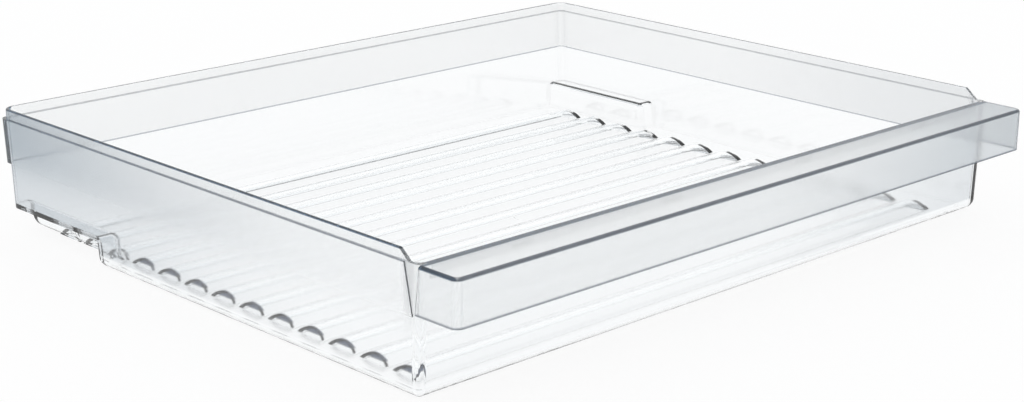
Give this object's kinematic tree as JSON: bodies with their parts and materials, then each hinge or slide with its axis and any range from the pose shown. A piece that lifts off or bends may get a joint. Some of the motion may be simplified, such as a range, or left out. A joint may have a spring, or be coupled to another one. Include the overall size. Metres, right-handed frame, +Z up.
{
  "type": "freezer drawer",
  "caption": "Shallow clear plastic freezer drawer with a ridged floor, a thin lip round the sides and rear, notched rear corners and a clip-on pull bar.",
  "frame": {"origin": "middle of the drawer's outer box, on the level that its underside rests on", "axes": "+X to the right as seen from the pull bar, +Y from the pull bar to the rear, +Z up"},
  "size_m": [0.47, 0.396, 0.0755],
  "materials": {
    "clear_plastic": "clear and polished",
    "tinted_clear_plastic": "clear and polished, with a faint blue-grey tint"
  },
  "bodies": {
    "root": {"storage_tray": "clear_plastic", "pull_bar": "tinted_clear_plastic"}
  },
  "joints": []
}
